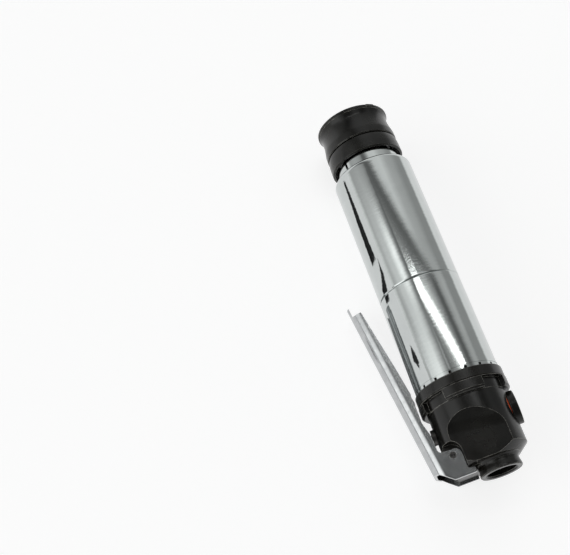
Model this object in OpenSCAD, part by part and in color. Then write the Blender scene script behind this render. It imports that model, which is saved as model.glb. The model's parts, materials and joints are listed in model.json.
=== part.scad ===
// Inline air hammer with a lever throttle, lying as it rests on a bench.
// Millimetres. The world origin is the mouth of the chisel socket, +X points out of the nose
// and +Z is up. Every module draws its piece standing upright: the tool's axis is local Z, which
// counts the distance from the nose, local +X is the lever side and local Y faces the two flats.
// The module tool() turns a piece from there into the lying pose.

/* [Barrel] */
// Outside diameter of the two chrome sleeves
sleeve_d = 46; // [45.5:0.1:46.5]
// Wall thickness of the chrome sleeves
sleeve_wall = 1.6; // [1.2:0.1:2]
// Distance from the nose to the front face of the front sleeve
sleeve_front_z = 35.3; // [35.2:0.1:35.6]
// Distance from the nose to the seam between the two sleeves
seam_z = 114.3; // [112:0.1:117]
// Distance from the nose to the back end of the rear sleeve
sleeve_rear_z = 169; // [168.9:0.05:169]
// Outside diameter of the cylinder
cylinder_d = 34; // [33:0.5:36]
// Bore of the cylinder
piston_bore_d = 19; // [18.8:0.1:19.2]

/* [Nose] */
// Diameter of the round mouth of the chisel socket
socket_d = 17; // [16.6:0.1:17.2]
// Width across flats of the chisel shank's hexagon
shank_flats = 14.3; // [14.2:0.1:14.6]
// Diameter of the locking balls
ball_d = 6; // [5.9:0.05:6]
// Distance from the nose to the back edge of the retainer
retainer_len = 29; // [28.5:0.1:29]
// How far the retainer slides back to free the chisel
retainer_travel = 6; // [5:0.1:6]

/* [Throttle end] */
// Diameter of the valve housing
housing_d = 42.8; // [42.4:0.1:43]
// Distance from the tool's axis to each flat of the housing
flat_y = 15.6; // [15.2:0.1:16]
// Distance from the nose to the throttle valve's axis
valve_z = 193.2; // [193:0.1:193.6]
// Distance from the nose to the lever pin
pin_z = 207.4; // [207:0.1:208]
// Distance from the tool's axis to the lever pin
pin_x = 16.2; // [16:0.1:16.4]
// Diameter of the lever pin
pin_d = 3.5; // [3.4:0.05:3.6]
// Overall length of the tool
tool_len = 222; // [221.5:0.1:223]
// Distance that the air inlet is offset from the tool's axis
inlet_offset = 3.7; // [3.4:0.1:4]
// Pitch diameter of the three-eighths inlet thread
inlet_thread_d = 16; // [15.8:0.1:16.2]

/* [Lever] */
// Width over the lever's two flanges
lever_w = 19.5; // [19.4:0.1:19.7]
// Thickness of the lever's sheet steel
sheet = 1.5; // [1.4:0.1:1.5]
// Slope of the lever's web away from the barrel, in degrees
lever_slope = 6.48; // [6.3:0.01:6.6]
// Roll of the lying tool that rests the lever's tip on the bench, in degrees
roll = 22; // [18:0.1:22.5]

/* [Hidden] */
$fn = 96;
eps = 0.01;
far = 60;
run = 0.05;                         // radial clearance of a running fit

sleeve_r = sleeve_d / 2;
sleeve_in_r = sleeve_r - sleeve_wall;
cylinder_r = cylinder_d / 2;
bore_r = piston_bore_d / 2;

bushing_r = 11.5;
ball_r = ball_d / 2;
ball_z = 16;
ball_x = 8.85;                      // centre of a ball that is locked in
ball_lift = 1.3;                    // how far a freed ball moves outwards
chamber_r = 17.2;                   // spring chamber inside the retainer
collar_r = 18.6;
collar_front_z = 29.3;
neck_r = 15.5;                      // threaded front neck of the cylinder
neck_z = 35;
cylinder_front_z = 48;
cylinder_rear_z = 150;
buffer_z = 41;
piston_front_z = 45.4;              // front face of the piston's body at rest
piston_len = 32;

case_z = cylinder_rear_z;
cover_z = 160;
gasket_z = 164;
housing_front_z = 164.8;
thread_r = 20.9;                    // thread of the housing, the rear sleeve and the lock nut
exhaust_z = sleeve_rear_z;
nut_z = 171;
nut_step_z = 177;
nut_rear_z = 183;
nut_flange_r = 24.1;
nut_lug_r = 24.35;
nut_floor_r = 21.6;
notch_angles = [for (k = [0:3]) 41.5 + 90 * k];   // middle of each spanner notch
notch_w = 38;                       // width of a spanner notch, in degrees
exhaust_slots = 17;
slot_phase = 5;

housing_r = housing_d / 2;
arch_z = 190.4;                     // where the scoop in front of each flat begins
scoop_slope = 40;                   // slope of the scoop before it curves into the flat
scoop_r = 9.6;                      // radius of that curve
scoop_tilt = 8.5;                   // the scoop's cutter runs a little askew, in degrees
flat_rear_z = 215.6;
cone_z = 211.8;
cone_r = 16.4;
boss_r = 11.3;
inlet_floor_z = 207;                // bottom of the inlet thread
lug_y = 7.95;                       // half thickness of the lug between the lever's ears
spot_x = 18.7;                      // spot face under the valve cap
spot_r = 9.4;
chamber_b_r = 6.2;

lever_y = lever_w / 2;
ear_y = lever_y - sheet;
bend_r = 6.5;                       // outer radius of the bends along the lever's web
tip_z = 110.8;
flange_tip_z = 116.4;
web_x = 30.3;                       // web's outer face beside the housing
web_z = 206.3;
function web_at(z) = web_x + (web_z - z) * tan(lever_slope);

// ---------- helpers ----------

// Turns an upright piece into the lying, rolled pose of the whole tool.
module tool() {
    rotate([-90 - roll, 0, 0]) rotate([0, -90, 0]) children();
}

// Half section of a ring from radius r0 to r1 and from z0 to z1, with corners of radius c.
module bar(r0, r1, z0, z1, c = 0) {
    translate([r0, z0 + c]) square([r1 - r0, z1 - z0 - 2 * c]);
    if (c > 0) {
        translate([r0 + c, z0]) square([r1 - r0 - 2 * c, z1 - z0]);
        for (r = [r0 + c, r1 - c], z = [z0 + c, z1 - c]) translate([r, z]) circle(c);
    }
}

module tube(r_out, r_in, z0, z1) {
    difference() {
        translate([0, 0, z0]) cylinder(r = r_out, h = z1 - z0);
        translate([0, 0, z0 - 1]) cylinder(r = r_in, h = z1 - z0 + 2);
    }
}

module rod(r, z0, z1) {
    translate([0, 0, z0]) cylinder(r = r, h = z1 - z0);
}

// Cylinder along local X at height z, from x0 to x1.
module cross_rod(r, x0, x1, z = valve_z) {
    translate([x0, 0, z]) rotate([0, 90, 0]) cylinder(r = r, h = x1 - x0);
}

// Cylinder along local Y through (x, z), from -y to y.
module side_rod(r, y, x = pin_x, z = pin_z) {
    translate([x, y, z]) rotate([90, 0, 0]) cylinder(r = r, h = 2 * y);
}

// Plate whose outline is a list of [x, z] points, from -y to y.
module side_plate(outline, y) {
    translate([0, y, 0]) rotate([90, 0, 0]) linear_extrude(2 * y) polygon(outline);
}

// Hexagonal prism, across flats af.
module hex_rod(af, z0, z1) {
    translate([0, 0, z0]) rotate(30) cylinder(d = af / cos(30), h = z1 - z0, $fn = 6);
}

// Compression spring along local Z with flat-lying closed end turns.
module coil(r, wire_r, z0, z1, turns) {
    sides = 8;
    steps = 18;
    last = turns * steps;
    rise = z1 - z0 - 2 * wire_r;
    function height(t) = z0 + wire_r + rise * min(1, max(0, (t - 0.08) / 0.84));
    function ring(i) = [for (k = [0:sides - 1])
        let (a = 360 * i / steps, b = 360 * k / sides, m = r + wire_r * cos(b))
        [m * cos(a), m * sin(a), height(i / last) + wire_r * sin(b)]];
    points = [for (i = [0:last]) each ring(i)];
    start = [for (k = [0:sides - 1]) k];
    end = [for (k = [sides - 1:-1:0]) last * sides + k];
    walls = [for (i = [0:last - 1], k = [0:sides - 1])
        [i * sides + k, (i + 1) * sides + k,
         (i + 1) * sides + (k + 1) % sides, i * sides + (k + 1) % sides]];
    polyhedron(points, concat([start], walls, [end]));
}

// ---------- nose ----------

// Front half of the retainer: dished rim with a small tab, waist, ball cam and spring chamber.
module retainer_cap() {
    waist = [for (t = [0:0.1:1]) [20.7 + 0.35 * t - 0.95 * sin(180 * pow(t, 0.7)), 2.2 + 12.8 * t]];
    color("#2b2a28") tool() {
        rotate_extrude() difference() {
            union() {
                bar(14, 21.2, 0, 1.9, 0.6);
                polygon([[11.55, 1], [20.7, 1], each waist, [21.05, 18.3], [20.75, 18.8],
                    [11.55, 18.8]]);
                bar(12, 19.1, 17, 22.8);
            }
            translate([0, -1]) square([18.3, 4]);
            translate([0, 4.5]) square([14.2, 5.5]);
            polygon([[0, 9], [13.55, 9], [12.05, ball_z], [12.05, 18.5], [0, 18.5]]);
            translate([0, 17.6]) square([chamber_r, 10]);
        }
        rotate(223) rotate_extrude(angle = 14) translate([20, 0.4]) square([1.7, 1.2]);
    }
}

// Rear half of the retainer, open behind, that slides over the collar.
module retainer_skirt() {
    color("#2b2a28") tool() rotate_extrude() polygon([
        [19.15, 19.5], [20.5, 19.5], [20.8, 19.8], [21.1, 22], [21.25, 25],
        [21.25, retainer_len - 0.5], [20.75, retainer_len], [19.9, retainer_len],
        [19.9, 24.6], [19.15, 24.6]]);
}

module retainer_spring() {
    color("silver") tool() coil(15.4, 0.7, 17.7, collar_front_z - 0.05, 3);
}

// Open spring ring in the bushing's groove, which stops the retainer from sliding off.
module snap_ring() {
    color("#3a3a3a") tool() difference() {
        tube(14, 10.9, 1.5, 2.7);
        translate([0, -1.5, 0]) cube([20, 3, 5]);
    }
}

module locking_ball(side) {
    color("silver") tool() translate([side * ball_x, 0, ball_z]) sphere(ball_r);
}

module locking_ball_1() locking_ball(1);

module locking_ball_2() locking_ball(-1);

// Guides the chisel: a round mouth, then the hexagon that stops the shank from turning.
module chisel_bushing() {
    color("#8d8f92") tool() difference() {
        union() {
            rod(bushing_r, 0, 31);
            rod(13.8, 31, neck_z);
            rod(10.9, neck_z - eps, buffer_z);
        }
        rod(socket_d / 2, -1, 12);
        hex_rod(shank_flats, 11, buffer_z + 1);
        tube(bushing_r + 1, 10.9, 1.5, 2.7);
        for (side = [-1, 1]) cross_rod(ball_r + run, side > 0 ? 5 : -20, side > 0 ? 20 : -5, ball_z);
    }
}

// Chrome union nut that clamps the bushing to the cylinder, with two spanner slots.
module front_collar() {
    slot_w = 1.4;
    color("#d7d9dc") tool() difference() {
        rod(collar_r, collar_front_z, 40);
        rod(bushing_r + 0.1, collar_front_z - 1, 41);
        rod(13.8, 31, 41);
        rod(neck_r, neck_z, 41);
        for (k = [0, 1]) rotate(129 + 180 * k)
            translate([16.8, -slot_w / 2, collar_front_z - 1]) cube([5, slot_w, 6.4]);
    }
}

module buffer_ring() {
    color("#1c1c1c") tool() tube(10.9, 7.9, buffer_z, 44.6);
}

// ---------- barrel ----------

// Hammer cylinder with its exhaust ports and lengthwise air passages.
module hammer_cylinder() {
    passage_r = 1.6;
    color("#9a9da1") tool() difference() {
        union() {
            rod(neck_r, neck_z, cylinder_front_z + eps);
            rod(cylinder_r, cylinder_front_z, cylinder_rear_z);
        }
        rod(bore_r, 40, cylinder_rear_z + 1);
        rod(10.9, neck_z - 1, 45);
        for (k = [0:5]) rotate(30 + 60 * k) cross_rod(2, 5, 20, 96);
        for (k = [0:1]) rotate(180 * k) cross_rod(1.5, 5, 20, 58);
        for (k = [0:3]) rotate(45 + 90 * k) translate([13.2, 0, 0]) rod(passage_r, 56, cylinder_rear_z + 1);
        for (k = [0:1]) rotate(180 * k) translate([13.2, 0, 0]) rod(1.5, 144, cylinder_rear_z + 1);
    }
}

// Free piston, whose nose strikes the chisel.
module piston() {
    body_r = bore_r - 0.03;
    color("#b7babd") tool() difference() {
        union() {
            rod(body_r, piston_front_z, piston_front_z + piston_len);
            rod(6.6, piston_front_z - 3.6, piston_front_z + eps);
        }
        for (z = [8, 24]) tube(body_r + 1, body_r - 0.5, piston_front_z + z, piston_front_z + z + 2.5);
    }
}

module front_sleeve() {
    shoulder = 3.4;
    edge = 0.9;
    color("#d7d9dc") tool() rotate_extrude() difference() {
        union() {
            bar(collar_r + 0.05, sleeve_r - shoulder, sleeve_front_z, sleeve_front_z + 2 * shoulder);
            bar(collar_r + 0.05, sleeve_r, sleeve_front_z + shoulder, seam_z - edge);
            bar(collar_r + 0.05, sleeve_r - edge, sleeve_front_z + shoulder, seam_z);
            translate([sleeve_r - shoulder, sleeve_front_z + shoulder]) circle(shoulder);
            translate([sleeve_r - edge, seam_z - edge]) circle(edge);
        }
        translate([0, sleeve_front_z + 2.6]) square([sleeve_in_r, far * 2]);
        translate([0, 0]) square([collar_r + 0.05, far * 2]);
    }
}

module rear_sleeve() {
    edge = 0.5;
    color("#d7d9dc") tool() rotate_extrude() {
        bar(sleeve_in_r, sleeve_r - edge, seam_z, sleeve_rear_z);
        bar(sleeve_in_r, sleeve_r, seam_z + edge, sleeve_rear_z - 0.25);
        translate([sleeve_r - edge, seam_z + edge]) circle(edge);
        bar(thread_r, sleeve_r - 0.25, housing_front_z + 1, sleeve_rear_z);
    }
}

// Ring under the seam that centres both sleeves on the cylinder and lets the exhaust pass.
module centring_ring() {
    color("#9a9da1") tool() difference() {
        tube(sleeve_in_r, cylinder_r, seam_z - 7, seam_z + 7);
        for (z = [-4.5, 2.5]) tube(far, 20.2, seam_z + z, seam_z + z + 2);
        for (k = [0:11]) rotate(30 * k) translate([18.7, 0, 0]) rod(0.9, seam_z - 8, seam_z + 8);
    }
}

module sleeve_orings() {
    color("#1c1c1c") tool() rotate_extrude()
        for (z = [-3.5, 3.5]) translate([20.8, seam_z + z]) circle(0.6);
}

// ---------- valve that reverses the piston ----------

module valve_case() {
    color("#9a9da1") tool() difference() {
        tube(cylinder_r, 8, case_z, cover_z);
        rod(11, case_z + 2.5, cover_z + 1);
        for (k = [0:3]) rotate(45 + 90 * k) translate([13.2, 0, 0]) rod(1.6, case_z - 1, cover_z + 1);
        for (k = [0:1]) rotate(180 * k) translate([13.2, 0, 0]) rod(1.5, case_z - 1, cover_z + 1);
        for (k = [0:5]) rotate(30 + 60 * k) cross_rod(1.2, 9, 20, case_z + 6);
    }
}

// Ring-shaped spool that shuttles inside the valve case.
module valve_spool() {
    spool_r = 11 - 0.03;
    color("#c9a24a") tool() difference() {
        rod(spool_r, case_z + 2.8, cover_z - 2.3);
        rod(6.5, case_z, cover_z);
        tube(spool_r + 1, spool_r - 1, case_z + 4.4, case_z + 5.6);
    }
}

module valve_cover() {
    color("#9a9da1") tool() difference() {
        rod(cylinder_r, cover_z, gasket_z);
        rod(4, cover_z - 1, gasket_z + 1);
        for (k = [0:3]) rotate(45 + 90 * k) translate([13.2, 0, 0]) rod(1.6, cover_z - 1, cover_z + 2);
        for (k = [0:1]) rotate(180 * k) translate([13.2, 0, 0]) rod(1.5, cover_z - 1, gasket_z + 1);
        for (k = [0:3]) rotate(45 + 90 * k) translate([9, 0, 0]) rod(1.6, cover_z - 1, gasket_z + 1);
    }
}

module valve_dowels() {
    color("silver") tool() for (k = [0:1]) rotate(180 * k) translate([13.2, 0, 0])
        rod(1.5, 144.5, housing_front_z + 3);
}

module case_gasket() {
    color("#5b4a36") tool() difference() {
        tube(cylinder_r, 10.8, gasket_z, housing_front_z);
        for (k = [0:1]) rotate(180 * k) translate([13.2, 0, 0]) rod(1.5, gasket_z - 1, housing_front_z + 1);
    }
}

// ---------- throttle end ----------

// Chrome ring behind the rear sleeve, with slots that let the exhaust out.
module exhaust_ring() {
    slot_w = 1.5;
    color("#d7d9dc") tool() difference() {
        tube(22.9, thread_r, exhaust_z, nut_z);
        for (k = [0:exhaust_slots - 1]) rotate(slot_phase - 90 + 360 * k / exhaust_slots)
            translate([thread_r - 1, -slot_w / 2, exhaust_z + 0.4]) cube([5, slot_w, 3]);
    }
}

// Lock nut with a plain flange and four wide spanner notches.
module lock_nut() {
    color("#2b2a28") tool() difference() {
        rotate_extrude() {
            bar(thread_r, nut_flange_r, nut_z, nut_step_z - 0.3, 0.5);
            bar(thread_r, nut_flange_r - 0.6, nut_z + 0.2, nut_rear_z - 0.3);
            polygon([[thread_r, nut_step_z], [nut_lug_r, nut_step_z], [nut_lug_r, nut_rear_z - 1.2],
                [nut_lug_r - 1.2, nut_rear_z], [thread_r, nut_rear_z]]);
        }
        for (a = notch_angles) rotate(a - notch_w / 2) rotate_extrude(angle = notch_w)
            bar(nut_floor_r, far / 2, nut_step_z + 0.2, nut_rear_z + 1);
    }
}

// Milled clearance for one ear of the lever, cut into both flats.
module ear_pocket() {
    for (side = [-1, 1]) mirror([0, side < 0 ? 1 : 0, 0]) translate([0, lug_y + 8, 0])
        rotate([90, 0, 0]) linear_extrude(8) union() {
            translate([17.2, pin_z + 0.1]) circle(6.3);
            translate([10.9, pin_z + 0.1]) square([20, 20]);
            translate([17.2, pin_z - 6.2]) square([14, 20]);
            translate([6.2, flat_rear_z - 0.1]) square([20, 10]);
        }
}

// Both flats, each with a scoop in front of it that slopes down and curves into the flat.
module flat_cut() {
    drop = housing_r - flat_y - scoop_r * (1 - cos(scoop_slope));
    scoop_len = drop / tan(scoop_slope) + scoop_r * sin(scoop_slope);
    bend = [for (a = [scoop_slope:-5:0]) [flat_y + scoop_r * (1 - cos(a)), scoop_len - scoop_r * sin(a)]];
    for (side = [-1, 1]) mirror([0, side < 0 ? 1 : 0, 0])
        translate([0, 0, arch_z]) rotate([0, scoop_tilt, 0]) translate([-far / 2, 0, 0])
            rotate([90, 0, 90]) linear_extrude(far)
                polygon([[housing_r, 0], each bend, [flat_y, far], [far, far], [far, 0]]);
}

// Boss of the air inlet, with a filleted root and a slight flare at its mouth.
module inlet_boss() {
    translate([-inlet_offset, 0, 0]) rotate_extrude() polygon([[0, 206], [12.4, 206], [12.4, flat_rear_z],
        [11.5, flat_rear_z + 0.5], [10.9, flat_rear_z + 1.3], [10.8, flat_rear_z + 2.6],
        [boss_r, tool_len - 1.2], [boss_r, tool_len - 0.4], [boss_r - 0.4, tool_len], [0, tool_len]]);
}

// Housing of the throttle valve, with the inlet boss and the lug that carries the lever.
module valve_housing() {
    lug = [[0, 200], [18, 200], [20.6, 203], [20.6, 215.6], [18.5, 218.2], [7.2, 218.2], [6.2, 216.4],
        [0, 216.4]];
    color("#2b2a28") tool() difference() {
        union() {
            rod(thread_r, housing_front_z, nut_rear_z + 0.5);
            difference() {
                rotate_extrude() polygon([[0, nut_rear_z], [housing_r, nut_rear_z], [housing_r, cone_z],
                    [cone_r, flat_rear_z], [0, flat_rear_z]]);
                flat_cut();
                ear_pocket();
            }
            side_plate(lug, lug_y);
            inlet_boss();
        }
        inlet_and_valve_bores();
        side_rod(pin_d / 2, lug_y + 1);
        for (k = [0:11]) rotate(30 * k) translate([thread_r - 1.6, -1.5, housing_front_z - 1])
            cube([5, 3, nut_z - 2 - housing_front_z + 2.6]);
        for (k = [0:1]) rotate(180 * k) translate([13.2, 0, 0]) rod(1.5, 160, housing_front_z + 3.3);
        cross_rod(spot_r, -far / 2, -spot_x);
    }
}

// Air way: threaded inlet, throttle valve chambers across the housing, and the way forward.
module inlet_and_valve_bores() {
    translate([-inlet_offset, 0, 0]) {
        rod(inlet_thread_d / 2, inlet_floor_z, tool_len + 1);
        rod(6.5, inlet_floor_z - 1.2, inlet_floor_z + 1);
        rod(5, valve_z, inlet_floor_z);
        translate([0, 0, tool_len - 1]) cylinder(r1 = 7.9, r2 = 9.9, h = 2);
    }
    cross_rod(7.2, -spot_x - 1, 0);
    cross_rod(4.4, -1, 4);
    cross_rod(chamber_b_r, 2.6, 12);
    cross_rod(5, 11, far / 2);
    translate([7.4, 0, 0]) rod(2.8, housing_front_z - 1, valve_z);
    rod(10.8, housing_front_z - 1, housing_front_z + 3);
}

// Round mesh disc at the bottom of the inlet.
module inlet_strainer() {
    seat_z = inlet_floor_z - 1.2;
    color("#c9a24a") tool() translate([-inlet_offset, 0, 0]) difference() {
        rod(6.5, seat_z, seat_z + 1);
        for (x = [-4.5:1.5:4.5], y = [-4.5:1.5:4.5]) if (norm([x, y]) < 4.9)
            translate([x, y, 0]) rod(0.5, seat_z - 1, seat_z + 2);
    }
}

// Poppet on its stem; the lever pushes the domed end to open the valve.
module throttle_stem() {
    stem_r = 1.8;
    tip_x = web_at(valve_z) - 1.8;
    color("#b7babd") tool() {
        cross_rod(stem_r, -4, tip_x - stem_r);
        translate([tip_x - stem_r, 0, valve_z]) sphere(stem_r);
        cross_rod(5.9, -1.65, -0.05);
    }
}

module stem_guide() {
    color("#1f1f1f") tool() difference() {
        union() {
            cross_rod(5, 12, 19.9);
            cross_rod(4.2, 19.8, 23);
        }
        cross_rod(1.85, 11, 24);
        cross_rod(2.95, 11, 14.2);
    }
}

module stem_oring() {
    color("#1c1c1c") tool() translate([13.1, 0, valve_z]) rotate([0, 90, 0])
        rotate_extrude() translate([2.4, 0]) circle(0.5);
}

module throttle_spring() {
    color("silver") tool() translate([0, 0, valve_z]) rotate([0, 90, 0])
        coil(4.2, 0.5, -17.6, -1.75, 6);
}

// Plug that closes the valve bore, with a coin-like head.
module valve_cap() {
    color("#2b2a28") tool() difference() {
        union() {
            translate([-24, 0, valve_z]) rotate([0, 90, 0]) rotate_extrude() {
                bar(0, 9, 0.5, 3.6);
                bar(0, 8.5, 0, 4);
                for (z = [0.5, 3.5]) translate([8.5, z]) circle(0.5);
            }
            cross_rod(7.2, -20.6, -13);
        }
        cross_rod(5.4, -17.7, -12);
    }
}

module cap_oring() {
    color("#e0561b") tool() translate([-19.35, 0, valve_z]) rotate([0, 90, 0])
        rotate_extrude() translate([7.85, 0]) circle(0.65);
}

// Hollow spring pin that carries the lever.
module lever_pin() {
    color("#4a4743") tool() difference() {
        side_rod(pin_d / 2, lever_y - 0.15);
        side_rod(0.95, lever_y + 1);
    }
}

// Pressed channel: a web with bent edges, two flanges and two ears round the pin.
module throttle_lever() {
    color("#d0d3d6") tool() difference() {
        intersection() {
            side_plate(lever_outline(), lever_y);
            channel_bar(0, lever_y, bend_r);
        }
        channel_bar(sheet, ear_y, bend_r - sheet);
        side_rod(pin_d / 2 + run, far);
    }
}

// Side view of the lever as [x, z] points, from the tip down the web and round the ear.
function lever_outline() = [
    [web_at(tip_z), tip_z], [web_at(213.2), 213.2], [26.2, 213.8], [19.7, 219.3], [8, 219.3], [8, 216.6],
    [11, 216], [11.5, 215.4], for (a = [185:15:290]) [15 + 3.5 * cos(a), 207.8 + 3.5 * sin(a)],
    [19.4, 204.1], for (a = [60:-12:0]) [19.9 + 3 * cos(a), 201.4 + 3 * sin(a)],
    [23.2, 193], [25.4, 184.3], [25.3, 170.6], [24.9, 169.8], [27.6, 152], [31.4, 130.5],
    [33.9, flange_tip_z], [web_at(flange_tip_z) - sheet, flange_tip_z], [web_at(tip_z) - sheet, tip_z]];

// Long bar along the web, inset from its outer face, with rounded edges of radius r.
module channel_bar(inset, y, r) {
    translate([web_x, 0, web_z]) rotate([0, -lever_slope, 0]) translate([-inset, 0, -130])
        linear_extrude(160) {
            translate([-far, -y]) square([far - r, 2 * y]);
            translate([-r - 1, r - y]) square([r + 1, 2 * (y - r)]);
            for (side = [-1, 1]) translate([-r, side * (y - r)]) circle(r);
        }
}

retainer_cap();
retainer_skirt();
retainer_spring();
snap_ring();
locking_ball_1();
locking_ball_2();
chisel_bushing();
front_collar();
buffer_ring();
hammer_cylinder();
piston();
front_sleeve();
rear_sleeve();
centring_ring();
sleeve_orings();
valve_case();
valve_spool();
valve_cover();
valve_dowels();
case_gasket();
exhaust_ring();
lock_nut();
valve_housing();
inlet_strainer();
throttle_stem();
stem_guide();
stem_oring();
throttle_spring();
valve_cap();
cap_oring();
lever_pin();
throttle_lever();
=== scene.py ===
"""Looks of the inline air hammer: bevelled skins, procedural metals, a soft white studio and the camera.

Metres, in the CAD frame: +X points out of the nose, +Z is up and the tool lies on the bench.
"""

import json
import math

import bmesh
import bpy
from mathutils import Euler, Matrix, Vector

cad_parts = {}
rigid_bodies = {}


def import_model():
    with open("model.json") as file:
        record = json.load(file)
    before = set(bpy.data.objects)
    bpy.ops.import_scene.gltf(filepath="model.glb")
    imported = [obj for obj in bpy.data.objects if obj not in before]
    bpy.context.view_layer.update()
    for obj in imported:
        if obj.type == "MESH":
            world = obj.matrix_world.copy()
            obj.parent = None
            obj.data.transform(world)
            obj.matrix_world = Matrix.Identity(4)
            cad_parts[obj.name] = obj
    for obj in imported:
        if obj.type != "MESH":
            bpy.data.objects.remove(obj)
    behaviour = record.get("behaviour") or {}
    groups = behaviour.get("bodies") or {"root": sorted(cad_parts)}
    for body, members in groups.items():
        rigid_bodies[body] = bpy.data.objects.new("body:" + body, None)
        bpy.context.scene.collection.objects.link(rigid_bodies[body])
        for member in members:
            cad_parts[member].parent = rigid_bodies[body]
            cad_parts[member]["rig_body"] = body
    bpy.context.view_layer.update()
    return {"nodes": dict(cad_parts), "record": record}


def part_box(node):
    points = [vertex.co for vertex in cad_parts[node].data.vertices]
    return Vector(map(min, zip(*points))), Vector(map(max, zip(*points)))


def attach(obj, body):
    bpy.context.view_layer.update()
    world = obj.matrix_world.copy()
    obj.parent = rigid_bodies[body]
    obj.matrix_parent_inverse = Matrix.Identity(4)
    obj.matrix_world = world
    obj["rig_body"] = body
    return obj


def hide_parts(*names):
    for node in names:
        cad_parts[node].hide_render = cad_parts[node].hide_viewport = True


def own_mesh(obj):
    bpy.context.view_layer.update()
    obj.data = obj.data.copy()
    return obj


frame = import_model()

MM = 0.001
ROLL = math.radians(22)             # the lying tool is rolled towards its lever
BENCH_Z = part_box("lock_nut")[0].z   # the lock nut's lugs touch the bench

# Directions of the tool in the world: rearwards and towards the lever
REAR = Vector((-1, 0, 0))
LEVER_SIDE = Vector((0, math.cos(ROLL), -math.sin(ROLL)))


# ---------- camera ----------

SENSOR_WIDTH = 36       # millimetres
FOCAL_LENGTH = 69.33    # millimetres
CAMERA_PLACE = (-0.34275, 0.22299, 0.51579)
CAMERA_TURN = (29.071, -7.53, -107.713)     # degrees about X, Y and Z


def make_camera():
    data = bpy.data.cameras.new("camera")
    data.sensor_width = SENSOR_WIDTH
    data.lens = FOCAL_LENGTH
    camera = bpy.data.objects.new("camera", data)
    camera.location = CAMERA_PLACE
    camera.rotation_euler = Euler([math.radians(angle) for angle in CAMERA_TURN])
    bpy.context.scene.collection.objects.link(camera)
    bpy.context.scene.camera = camera


make_camera()


# ---------- node helpers ----------

class Nodes:
    """Short calls that add nodes to a tree and link their sockets."""

    def __init__(self, tree):
        self.tree = tree

    def node(self, kind, values=(), **settings):
        made = self.tree.nodes.new("ShaderNode" + kind)
        for key, value in settings.items():
            setattr(made, key, value)
        for socket, value in dict(values).items():
            self.put(made.inputs[socket], value)
        return made

    def put(self, socket, value):
        if isinstance(value, bpy.types.NodeSocket):
            self.tree.links.new(value, socket)
        elif isinstance(value, tuple) and len(value) == 3 and socket.type == "RGBA":
            socket.default_value = (*value, 1)
        else:
            socket.default_value = value

    def math(self, operation, a, b=0.0):
        return self.node("Math", {0: a, 1: b}, operation=operation).outputs[0]

    def ramp(self, factor, low, high, start=0.0, end=1.0):
        """Maps factor from start..end to low..high, clamped."""
        return self.node("MapRange", {0: factor, 1: start, 2: end, 3: low, 4: high}).outputs[0]

    def mix(self, factor, first, second):
        return self.node("Mix", {0: factor, 6: first, 7: second}, data_type="RGBA").outputs[2]

    def profile(self, value, stops):
        """Brightness along value, from (value, brightness) stops between -1 and 1."""
        spread = self.ramp(value, 0, 1, -1, 1)
        made = self.node("ValToRGB", {0: spread})
        for place, brightness in stops:
            stop = made.color_ramp.elements.new(place / 2 + 0.5)
            stop.color = (brightness, brightness, brightness, 1)
        made.color_ramp.elements.remove(made.color_ramp.elements[0])
        made.color_ramp.elements.remove(made.color_ramp.elements[-1])
        return made.outputs[0]

    def between(self, value, low, high, softness):
        """1 where value lies between low and high, falling to 0 over softness on either side."""
        above = self.math("DIVIDE", self.math("SUBTRACT", value, low), softness)
        below = self.math("DIVIDE", self.math("SUBTRACT", high, value), softness)
        nearest = self.math("MINIMUM", above, below)
        values = {0: nearest, 1: -0.5, 2: 0.5}
        return self.node("MapRange", values, interpolation_type="SMOOTHSTEP").outputs[0]


class Shader(Nodes):
    """A Principled material with its pattern helpers, all in the tool's own coordinates."""

    def __init__(self, name, color, metallic, roughness):
        self.material = bpy.data.materials.new(name)
        self.material.use_nodes = True
        super().__init__(self.material.node_tree)
        self.bsdf = self.tree.nodes["Principled BSDF"]
        self.bsdf.inputs["Base Color"].default_value = (*color, 1)
        self.bsdf.inputs["Metallic"].default_value = metallic
        self.bsdf.inputs["Roughness"].default_value = roughness
        self.coords = self.node("TexCoord").outputs["Object"]

    def noise(self, scale, detail=4.0, roughness=0.55, stretch=None):
        vector = self.coords
        if stretch:
            vector = self.node("Mapping", {"Vector": self.coords, "Scale": stretch}).outputs[0]
        values = {"Vector": vector, "Scale": scale, "Detail": detail, "Roughness": roughness}
        return self.node("TexNoise", values).outputs["Fac"]

    def edges(self, radius):
        """About 1 on sharp edges and 0 on open surface; it carries wear and painted edge highlights."""
        rounded = self.node("Bevel", {"Radius": radius}, samples=6).outputs[0]
        normal = self.node("NewGeometry").outputs["Normal"]
        turned = self.node("VectorMath", {0: rounded, 1: normal}, operation="DOT_PRODUCT").outputs["Value"]
        return self.ramp(turned, 1.0, 0.0, 0.93, 0.998)

    def bump(self, height, distance, strength=1.0, after=None):
        values = {"Height": height, "Distance": distance, "Strength": strength}
        if after is not None:
            values["Normal"] = after
        return self.node("Bump", values).outputs[0]

    def lapped_normal(self, strength):
        """Normal of a round bar polished across its length: narrow bands lean a little round the X axis."""
        normal = self.node("NewGeometry").outputs["Normal"]
        around = self.node("VectorMath", {0: (1, 0, 0), 1: normal}, operation="CROSS_PRODUCT").outputs[0]
        lean = self.ramp(self.noise(1, 4, 0.7, (1100, 30, 30)), -strength, strength)
        leaning = self.node("VectorMath", {0: around, "Scale": lean}, operation="SCALE").outputs[0]
        total = self.node("VectorMath", {0: normal, 1: leaning}, operation="ADD").outputs[0]
        return self.node("VectorMath", {0: total}, operation="NORMALIZE").outputs[0]

    def link(self, socket, value):
        self.tree.links.new(value, self.bsdf.inputs[socket])


# ---------- materials ----------

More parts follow.
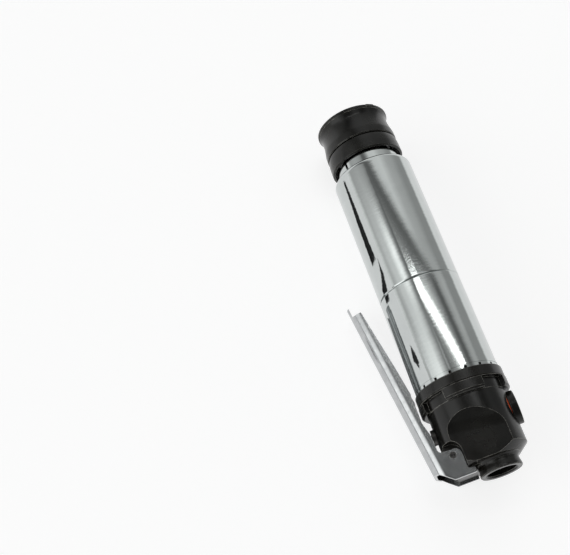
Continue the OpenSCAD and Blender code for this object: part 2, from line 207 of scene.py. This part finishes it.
def chrome():
    """Polished chrome plate: faint polishing rings, slow waviness, hairline scratches."""
    s = Shader("chrome", (0.55, 0.575, 0.57), 1.0, 0.04)
    rings = s.noise(14, 6, 0.7, (60, 16, 16))
    waves = s.noise(30, 2, 0.4)
    scratches = s.noise(60, 3, 0.6, (1, 28, 28))
    smudges = s.noise(90, 5, 0.6)
    smudged = s.ramp(smudges, 0, 0.4, 0.45, 0.8)
    s.link("Base Color", s.mix(smudged, (0.56, 0.585, 0.58), (0.47, 0.495, 0.49)))
    s.link("Roughness", s.ramp(smudges, 0.02, 0.07, 0.4, 0.75))
    first = s.bump(rings, 0.00005, 0.2, s.lapped_normal(0.03))
    second = s.bump(waves, 0.0004, 0.04, first)
    s.link("Normal", s.bump(scratches, 0.00002, 0.12, second))
    return s.material


def black_oxide():
    """Blackened steel: mottled oil finish, fine grain, edges rubbed bare and painted pale grey, which is
    partly a painted highlight.
    """
    s = Shader("black_oxide", (0.012, 0.0115, 0.010), 0.0, 0.3)
    s.bsdf.inputs["Specular IOR Level"].default_value = 0.34
    mottle = s.noise(70, 5, 0.6)
    patches = s.noise(22, 3, 0.5)
    # Pale grey on the edges, broken by noise: rubbed wear, and also a painted highlight for the light the
    # edges catch
    rubbed_and_highlit = s.math("MULTIPLY", s.edges(0.00045), s.ramp(s.noise(260, 4, 0.7), 0.12, 1.0, 0.36, 0.62))
    body = s.mix(s.ramp(mottle, 0, 1, 0.3, 0.75), (0.0042, 0.0042, 0.0038), (0.012, 0.0115, 0.0095))
    tinted = s.mix(s.ramp(patches, 0, 0.6, 0.45, 0.8), body, (0.013, 0.0105, 0.008))
    # Painted edge highlight and rubbed wear, in pale grey
    s.link("Base Color", s.mix(rubbed_and_highlit, tinted, (0.34, 0.33, 0.30)))
    s.link("Roughness", s.ramp(mottle, 0.17, 0.33, 0.3, 0.75))
    fine = s.bump(s.noise(1400, 3, 0.6), 0.00004, 0.4)
    s.link("Normal", s.bump(s.noise(420, 3, 0.6), 0.00008, 0.3, fine))
    return s.material


def plated_sheet():
    """Bright plated pressing: drawing marks along the lever, faint haze, fine pits, burnished edges."""
    s = Shader("plated_sheet", (0.5, 0.51, 0.52), 1.0, 0.2)
    haze = s.noise(260, 5, 0.65)
    marks = s.noise(20, 5, 0.65, (1.5, 55, 55))
    pits = s.noise(1300, 2, 0.5)
    body = s.mix(s.ramp(haze, 0, 1, 0.35, 0.75), (0.52, 0.53, 0.535), (0.43, 0.44, 0.45))
    s.link("Base Color", s.mix(s.edges(0.0003), body, (0.86, 0.86, 0.86)))
    s.link("Roughness", s.ramp(haze, 0.13, 0.24, 0.35, 0.7))
    first = s.bump(marks, 0.00004, 0.35)
    s.link("Normal", s.bump(pits, 0.00002, 0.3, first))
    return s.material


def turned_metal(name, color, roughness=0.3):
    """Turned or ground metal of the inner pieces, with fine lathe rings."""
    s = Shader(name, color, 1.0, roughness)
    rings = s.noise(20, 5, 0.7, (110, 3, 3))
    stains = s.ramp(s.noise(80, 4, 0.6), 0, 1, 0.35, 0.75)
    darker = tuple(c * 0.72 for c in color)
    s.link("Base Color", s.mix(stains, color, darker))
    s.link("Roughness", s.ramp(stains, roughness * 0.75, roughness * 1.35))
    s.link("Normal", s.bump(rings, 0.00003, 0.35))
    return s.material


def rubber(name, color, roughness=0.5):
    """Moulded rubber with a soft bloom and a fine matt grain."""
    s = Shader(name, color, 0.0, roughness)
    bloom = s.ramp(s.noise(150, 4, 0.6), 0, 1, 0.35, 0.75)
    lighter = tuple(min(1.0, c * 1.3 + 0.01) for c in color)
    s.link("Base Color", s.mix(bloom, color, lighter))
    s.link("Roughness", s.ramp(bloom, roughness * 0.8, roughness * 1.2))
    s.link("Normal", s.bump(s.noise(2200, 2, 0.5), 0.00002, 0.4))
    return s.material


def fibre_sheet():
    """Pressed fibre gasket sheet."""
    s = Shader("fibre_sheet", (0.22, 0.17, 0.11), 0.0, 0.8)
    strands = s.noise(500, 5, 0.75, (1, 1, 3))
    s.link("Base Color", s.mix(strands, (0.16, 0.12, 0.075), (0.30, 0.235, 0.16)))
    s.link("Normal", s.bump(strands, 0.00005, 0.6))
    return s.material


MATERIALS = {
    "black_oxide": black_oxide(),
    "chrome": chrome(),
    "steel": turned_metal("ground_steel", (0.50, 0.51, 0.52)),
    "spring_steel": turned_metal("spring_wire", (0.38, 0.38, 0.38), 0.35),
    "lever_plate": plated_sheet(),
    "dark_pin": turned_metal("dark_steel", (0.13, 0.125, 0.12), 0.35),
    "brass": turned_metal("turned_brass", (0.62, 0.47, 0.20), 0.28),
    "black_rubber": rubber("nitrile", (0.022, 0.022, 0.022)),
    "orange_rubber": rubber("silicone", (0.78, 0.10, 0.022), 0.3),
    "gasket": fibre_sheet(),
}
SLOTS = {part["node"]: part["material_slot"] for part in frame["record"]["subparts"]}


def dress_nodes():
    """Gives every CAD node the material of its record slot."""
    for name, slot in SLOTS.items():
        mesh = frame["nodes"][name].data
        mesh.materials.clear()
        mesh.materials.append(MATERIALS[slot])


dress_nodes()


# ---------- bevelled skins ----------

MERGE_DISTANCE = 0.000002
FLAT_ANGLE = math.radians(0.4)      # faces closer than this are joined into one
BEVEL_ANGLE = math.radians(28)      # edges sharper than this are broken
SMOOTH_ANGLE = math.radians(32)


def add_skin(node_name, bevel_width):
    """A copy of a CAD node with softly broken edges, which stands for the node."""
    node = frame["nodes"][node_name]
    skin = bpy.data.objects.new(node_name + "_skin", node.data.copy())
    bpy.context.scene.collection.objects.link(skin)
    mesh = bmesh.new()
    mesh.from_mesh(skin.data)
    bmesh.ops.remove_doubles(mesh, verts=mesh.verts, dist=MERGE_DISTANCE)
    bmesh.ops.dissolve_limit(mesh, angle_limit=FLAT_ANGLE, verts=mesh.verts, edges=mesh.edges)
    mesh.to_mesh(skin.data)
    mesh.free()
    bevel = skin.modifiers.new("bevel", "BEVEL")
    bevel.width = bevel_width
    bevel.segments = 2
    bevel.limit_method = "ANGLE"
    bevel.angle_limit = BEVEL_ANGLE
    skin.select_set(True)
    bpy.context.view_layer.objects.active = skin
    bpy.ops.object.modifier_apply(modifier=bevel.name)
    bpy.ops.object.shade_smooth_by_angle(angle=SMOOTH_ANGLE)
    weighted = skin.modifiers.new("weighted", "WEIGHTED_NORMAL")
    weighted.keep_sharp = True
    weighted.weight = 100
    bpy.ops.object.modifier_apply(modifier=weighted.name)
    skin.select_set(False)
    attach(skin, node["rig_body"])
    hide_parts(node_name)


BEVEL_WIDTHS = {
    "retainer_cap": 0.12 * MM,
    "retainer_skirt": 0.12 * MM,
    "chisel_bushing": 0.15 * MM,
    "front_collar": 0.15 * MM,
    "exhaust_ring": 0.08 * MM,
    "lock_nut": 0.25 * MM,
    "valve_housing": 0.25 * MM,
    "stem_guide": 0.15 * MM,
    "throttle_stem": 0.15 * MM,
    "lever_pin": 0.12 * MM,
    "throttle_lever": 0.2 * MM,
}
for skin_name, skin_bevel in BEVEL_WIDTHS.items():
    add_skin(skin_name, skin_bevel)


# ---------- springs ----------

STEPS_A_TURN = 40
WIRE_SIDES = 12
CLOSED_SHARE = 0.08     # share of the wire that lies flat at each end


def wind_spring(node_name, start, along, side, radius, wire_radius, length, turns):
    """Round wire wound about `along` from `start`, with flat closed ends."""
    last = turns * STEPS_A_TURN
    across = along.cross(side)
    rise = length - 2 * wire_radius
    mesh = bmesh.new()
    rings = []
    for step in range(last + 1):
        turn = 2 * math.pi * step / STEPS_A_TURN
        climb = min(1, max(0, (step / last - CLOSED_SHARE) / (1 - 2 * CLOSED_SHARE)))
        outward = side * math.cos(turn) + across * math.sin(turn)
        middle = start + outward * radius + along * (wire_radius + rise * climb)
        ring = []
        for corner in range(WIRE_SIDES):
            angle = 2 * math.pi * corner / WIRE_SIDES
            spoke = outward * math.cos(angle) + along * math.sin(angle)
            ring.append(mesh.verts.new(middle + spoke * wire_radius))
        rings.append(ring)
    for first, second in zip(rings, rings[1:]):
        for corner in range(WIRE_SIDES):
            after = (corner + 1) % WIRE_SIDES
            mesh.faces.new((first[corner], first[after], second[after], second[corner]))
    mesh.faces.new(rings[0])
    mesh.faces.new(rings[-1])
    bmesh.ops.recalc_face_normals(mesh, faces=mesh.faces)
    data = bpy.data.meshes.new(node_name + "_coil")
    mesh.to_mesh(data)
    mesh.free()
    data.polygons.foreach_set("use_smooth", [True] * len(data.polygons))
    data.materials.append(MATERIALS["spring_steel"])
    coil = bpy.data.objects.new(node_name + "_coil", data)
    bpy.context.scene.collection.objects.link(coil)
    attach(coil, "tool")
    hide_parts(node_name)
    return coil


RETAINER_SPRING_LENGTH = 11.55 * MM
retainer_coil = wind_spring("retainer_spring", REAR * 17.7 * MM, REAR, LEVER_SIDE, 15.4 * MM, 0.7 * MM,
                            RETAINER_SPRING_LENGTH, 3)
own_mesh(retainer_coil)

THROTTLE_SPRING_LENGTH = 15.85 * MM
throttle_seat = REAR * 193.2 * MM - LEVER_SIDE * 17.6 * MM
throttle_coil = wind_spring("throttle_spring", throttle_seat, LEVER_SIDE, REAR, 4.2 * MM, 0.5 * MM,
                            THROTTLE_SPRING_LENGTH, 6)
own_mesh(throttle_coil)


# ---------- studio ----------

def make_card(name, corners, height, material):
    """Flat sheet parallel to the bench; corners are (x, y) in metres."""
    mesh = bpy.data.meshes.new(name)
    mesh.from_pydata([(x, y, 0) for x, y in corners], [], [tuple(range(len(corners)))])
    mesh.materials.append(material)
    card = bpy.data.objects.new(name, mesh)
    card.location.z = height
    bpy.context.scene.collection.objects.link(card)
    return card


PAPER_GLOW = 0.77


def glowing_paper():
    """White sweep lit from below, as on a light table, so shadows stay faint."""
    s = Shader("glowing_paper", (0.4, 0.4, 0.4), 0.0, 0.9)
    s.bsdf.inputs["Specular IOR Level"].default_value = 0.0
    s.link("Base Color", s.mix(s.noise(6, 3, 0.5), (0.40, 0.40, 0.40), (0.385, 0.385, 0.39)))
    s.bsdf.inputs["Emission Color"].default_value = (1, 1, 1, 1)
    s.bsdf.inputs["Emission Strength"].default_value = PAPER_GLOW
    return s.material


def black_cloth():
    s = Shader("black_cloth", (0.01, 0.01, 0.01), 0.0, 0.9)
    s.link("Base Color", s.mix(s.noise(300, 4, 0.6), (0.006, 0.006, 0.007), (0.016, 0.016, 0.018)))
    return s.material


# Corners of black flags on the bench beside the lever, in millimetres. Only reflections see them.
FLAGS = [
    [(2, 92), (21, 129), (-45, 120), (-76, 54), (-40, 66)],
    [(-103, 50), (-92, 55), (-17, 183), (-30, 187), (-52, 142), (-90, 82)],
    [(-109, 121), (-95, 183), (-99, 188), (-126, 119), (-133, 79), (-123, 93)],
]


def make_flags():
    cloth = black_cloth()
    for number, corners in enumerate(FLAGS):
        flag = make_card(f"flag_{number + 1}", [(x * MM, y * MM) for x, y in corners], BENCH_Z, cloth)
        flag.visible_camera = False
        flag.visible_diffuse = False
        flag.visible_shadow = False


PANEL_GLOW = (3.6, 3.6, 3.6)


def make_world():
    """A room seen in the chrome: pale walls, a dark beam and a bright panel that cross the ceiling askew."""
    world = bpy.data.worlds.new("studio")
    bpy.context.scene.world = world
    world.use_nodes = True
    n = Nodes(world.node_tree)
    direction = n.node("TexCoord").outputs["Generated"]
    x, y, z = n.node("SeparateXYZ", {0: direction}).outputs

    # Brightness of the room from its right wall (y -1) over the ceiling to its left wall (y 1)
    walls = n.profile(y, [(-1, 0.38), (-0.8, 0.38), (-0.66, 0.52), (-0.45, 0.6), (-0.2, 0.85), (0.1, 0.8),
                          (0.36, 0.33), (0.45, 0.16), (0.56, 0.5), (0.66, 0.85), (0.76, 0.95), (0.86, 0.85),
                          (0.93, 0.5), (1, 0.5)])
    far_dimming = n.math("MULTIPLY", n.ramp(y, 0, 0.42, 0.5, 0.65), n.ramp(x, 0, 1, 0.41, 0.49))
    walls = n.math("MULTIPLY", walls, n.math("SUBTRACT", 1.0, far_dimming))
    glow = n.math("MULTIPLY", n.between(y, 0.58, 0.74, 0.14), n.between(x, 0.385, 0.435, 0.07))
    walls = n.math("ADD", walls, n.math("MULTIPLY", glow, 0.8))

    # Ahead of the panel's front edge a dark beam runs askew and fades on its left
    beam_y = n.ramp(x, -0.32, 0.44, 0.385, 0.496)
    beside_beam = n.math("SUBTRACT", y, beam_y)
    beam = n.profile(beside_beam, [(-1, 0.15), (0.07, 0.15), (0.3, 0.25), (0.5, 0.43), (0.7, 0.64),
                                   (1, 0.7)])
    in_beam = n.math("MULTIPLY", n.ramp(beside_beam, 0, 1, -0.28, -0.03), n.ramp(y, 1, 0, 0.40, 0.46))
    ahead = n.mix(in_beam, walls, beam)

    # Behind it the ceiling falls from the bright panel into a dark gap
    gap_y = n.ramp(x, -0.46, -0.36, 0.31, 0.39)
    beside_gap = n.math("SUBTRACT", y, gap_y)
    ceiling = n.profile(beside_gap, [(-1, 0.5), (-0.3, 0.6), (-0.18, 0.5), (-0.04, 0.16), (0.04, 0.16),
                                     (0.2, 0.45), (0.4, 0.85), (0.55, 0.6), (0.72, 0.4), (0.84, 0.24),
                                     (1, 0.6)])
    low = n.ramp(x, -0.28, 0.18, 0.307, 0.381)
    high = n.ramp(x, -0.03, 0.43, 0.307, 0.377)
    panel = n.math("MULTIPLY", n.between(y, low, high, 0.04), n.ramp(x, 0, 1, 0.27, 0.29))
    near_walls = n.math("MAXIMUM", n.ramp(y, 0, 1, 0.45, 0.5), n.ramp(y, 1, 0, -0.8, -0.7))
    behind = n.mix(n.math("MULTIPLY", panel, n.math("SUBTRACT", 1.0, near_walls)),
                   n.mix(near_walls, ceiling, walls), PANEL_GLOW)

    overhead = n.mix(n.ramp(x, 0, 1, 0.389, 0.3935), behind, ahead)
    rear_shade = n.math("MULTIPLY", n.ramp(x, 1, 0, -0.55, 0.1), n.ramp(z, 0, 1, 0.22, 0.4))
    shaded = n.mix(rear_shade, overhead, (0.16, 0.16, 0.16))
    seen = n.mix(n.ramp(z, 0, 1, 0.03, 0.15), (0.95, 0.95, 0.95), shaded)

    # Behind the lever: a dark ceiling, a bright window low on the left and the line of its sill
    dark_ceiling = n.math("MULTIPLY", n.between(y, 0.18, 0.56, 0.16), n.ramp(z, 0, 1, 0.5, 0.7))
    window = n.math("MULTIPLY", n.between(y, 0.7, 1.2, 0.12), n.between(z, 0.13, 0.66, 0.08))
    sill = n.math("MULTIPLY", n.ramp(y, 0, 1, 0.5, 0.7), n.between(z, 0.0, 0.1, 0.06))
    for mask, brightness, reach in ((dark_ceiling, 0.13, 0.32), (window, 1.7, 0.36), (sill, 0.25, 0.36)):
        fading = n.math("MULTIPLY", mask, n.ramp(x, 1, 0, 0.24, reach))
        seen = n.mix(fading, seen, (brightness, brightness, brightness))
    tint = n.node("Mix", {0: 1.0, 6: seen, 7: (0.985, 1.0, 0.99)}, data_type="RGBA", blend_type="MULTIPLY")
    n.put(n.tree.nodes["Background"].inputs[0], tint.outputs[2])


FLOOR_HALF = 3.0
FLOOR_GAP = 0.05 * MM   # keeps the paper just clear of the tool
make_card("floor", [(x * FLOOR_HALF, y * FLOOR_HALF) for x, y in ((-1, -1), (1, -1), (1, 1), (-1, 1))],
          BENCH_Z - FLOOR_GAP, glowing_paper())
make_flags()
make_world()

bpy.context.scene.view_settings.view_transform = "Standard"
